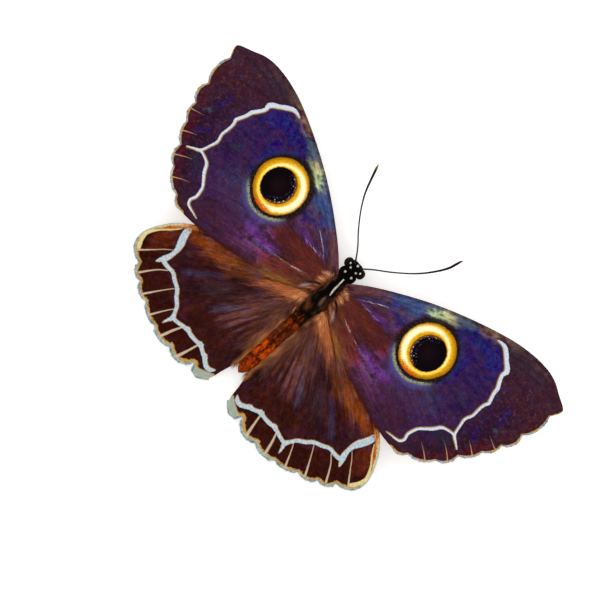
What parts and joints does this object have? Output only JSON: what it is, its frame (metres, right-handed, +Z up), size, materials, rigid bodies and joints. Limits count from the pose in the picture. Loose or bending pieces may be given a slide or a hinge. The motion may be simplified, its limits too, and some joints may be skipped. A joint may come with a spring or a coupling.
{
  "type": "owl butterfly",
  "caption": "Life-size still owl butterfly standing on its walking legs with its veined, scalloped wings spread flat, an owl-like eyespot on each forewing.",
  "frame": {"origin": "centre of the whole animal's outline in plan, on the surface that its feet stand on", "axes": "+Z up, the head towards -Y, the animal's left wings towards +X"},
  "size_m": [0.1324, 0.0762, 0.0131],
  "materials": {
    "black_fur": "short black velvet fur with small cream dots",
    "thorax_fur": "dark brown fur with orange-tan tufts at the wing roots",
    "abdomen_scales": "orange scales, darker between the segments",
    "compound_eye": "dark, glossy, finely faceted",
    "horn": "dark brown horn, satin",
    "leg_horn": "brown horn with short scales, satin",
    "forewing_scales": "matt scales, violet to indigo and maroon, with a yellow-ringed eyespot and a white line",
    "hindwing_scales": "matt scales, dark maroon, with a white band and pale scalloped edge"
  },
  "bodies": {
    "root": {"head": "black_fur", "collar": "black_fur", "thorax": "thorax_fur", "abdomen": "abdomen_scales", "eye_left": "compound_eye", "eye_right": "compound_eye", "antenna_left": "horn", "antenna_right": "horn", "palp_left": "black_fur", "palp_right": "black_fur", "tongue": "horn", "forewing_left": "forewing_scales", "forewing_right": "forewing_scales", "hindwing_left": "hindwing_scales", "hindwing_right": "hindwing_scales", "foreleg_left": "leg_horn", "foreleg_right": "leg_horn", "midleg_left": "leg_horn", "midleg_right": "leg_horn", "hindleg_left": "leg_horn", "hindleg_right": "leg_horn"}
  },
  "joints": []
}
